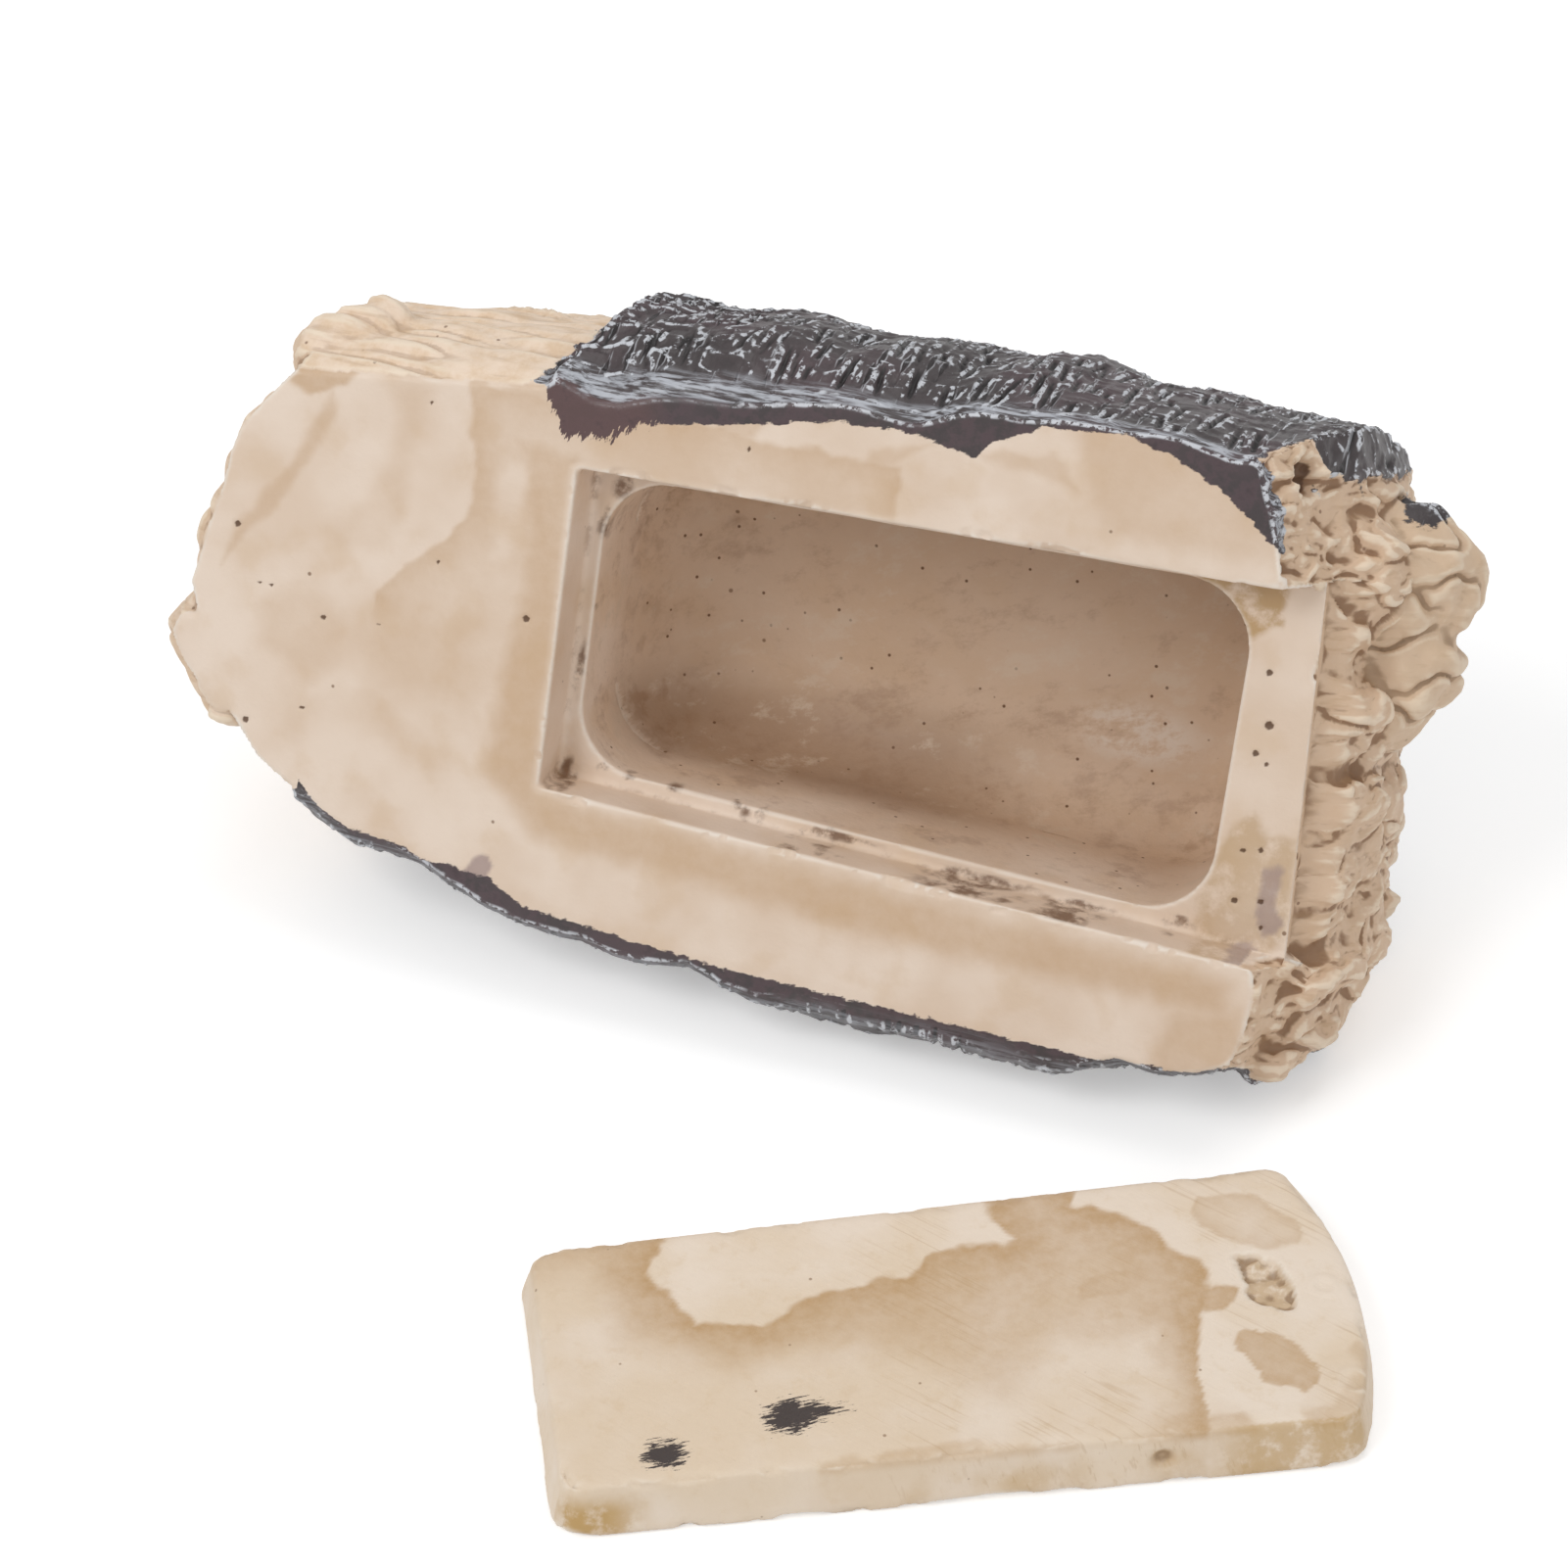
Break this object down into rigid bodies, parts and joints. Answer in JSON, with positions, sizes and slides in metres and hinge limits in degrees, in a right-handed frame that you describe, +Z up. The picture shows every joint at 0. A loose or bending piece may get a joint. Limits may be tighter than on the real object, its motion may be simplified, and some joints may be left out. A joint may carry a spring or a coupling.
{
  "type": "tree branch key hider",
  "caption": "Fake tree branch stub that hides a key: bark on its back, a ground flat underside with a rebated key pocket, and a loose drop-in lid plate that closes it.",
  "frame": {"origin": "middle of the solid pad of the ground flat, beside the rebate's end wall, on the pocket's centre line", "axes": "+X along the branch towards its broken open end, +Z up as it lies on its bark side, -Y towards the viewer; the ground flat leans back 24 degrees from upright"},
  "size_m": [0.1624, 0.1438, 0.0766],
  "materials": {
    "branch_resin": "cast filled resin, ground and stained on the flat, painted as dark bark on the back",
    "lid_resin": "cast filled resin, ground and stained, with chips and paint blots"
  },
  "bodies": {
    "branch": {"branch": "branch_resin"},
    "lid": {"lid": "lid_resin"}
  },
  "joints": [
    {"name": "lid_swing", "type": "hinge", "parent": "branch", "child": "lid", "pos_m": [0.07833, -0.01385, -0.03999], "axis": [-0.9614, -0.2308, -0.1499], "range_deg": [0, 116.04]}
  ]
}
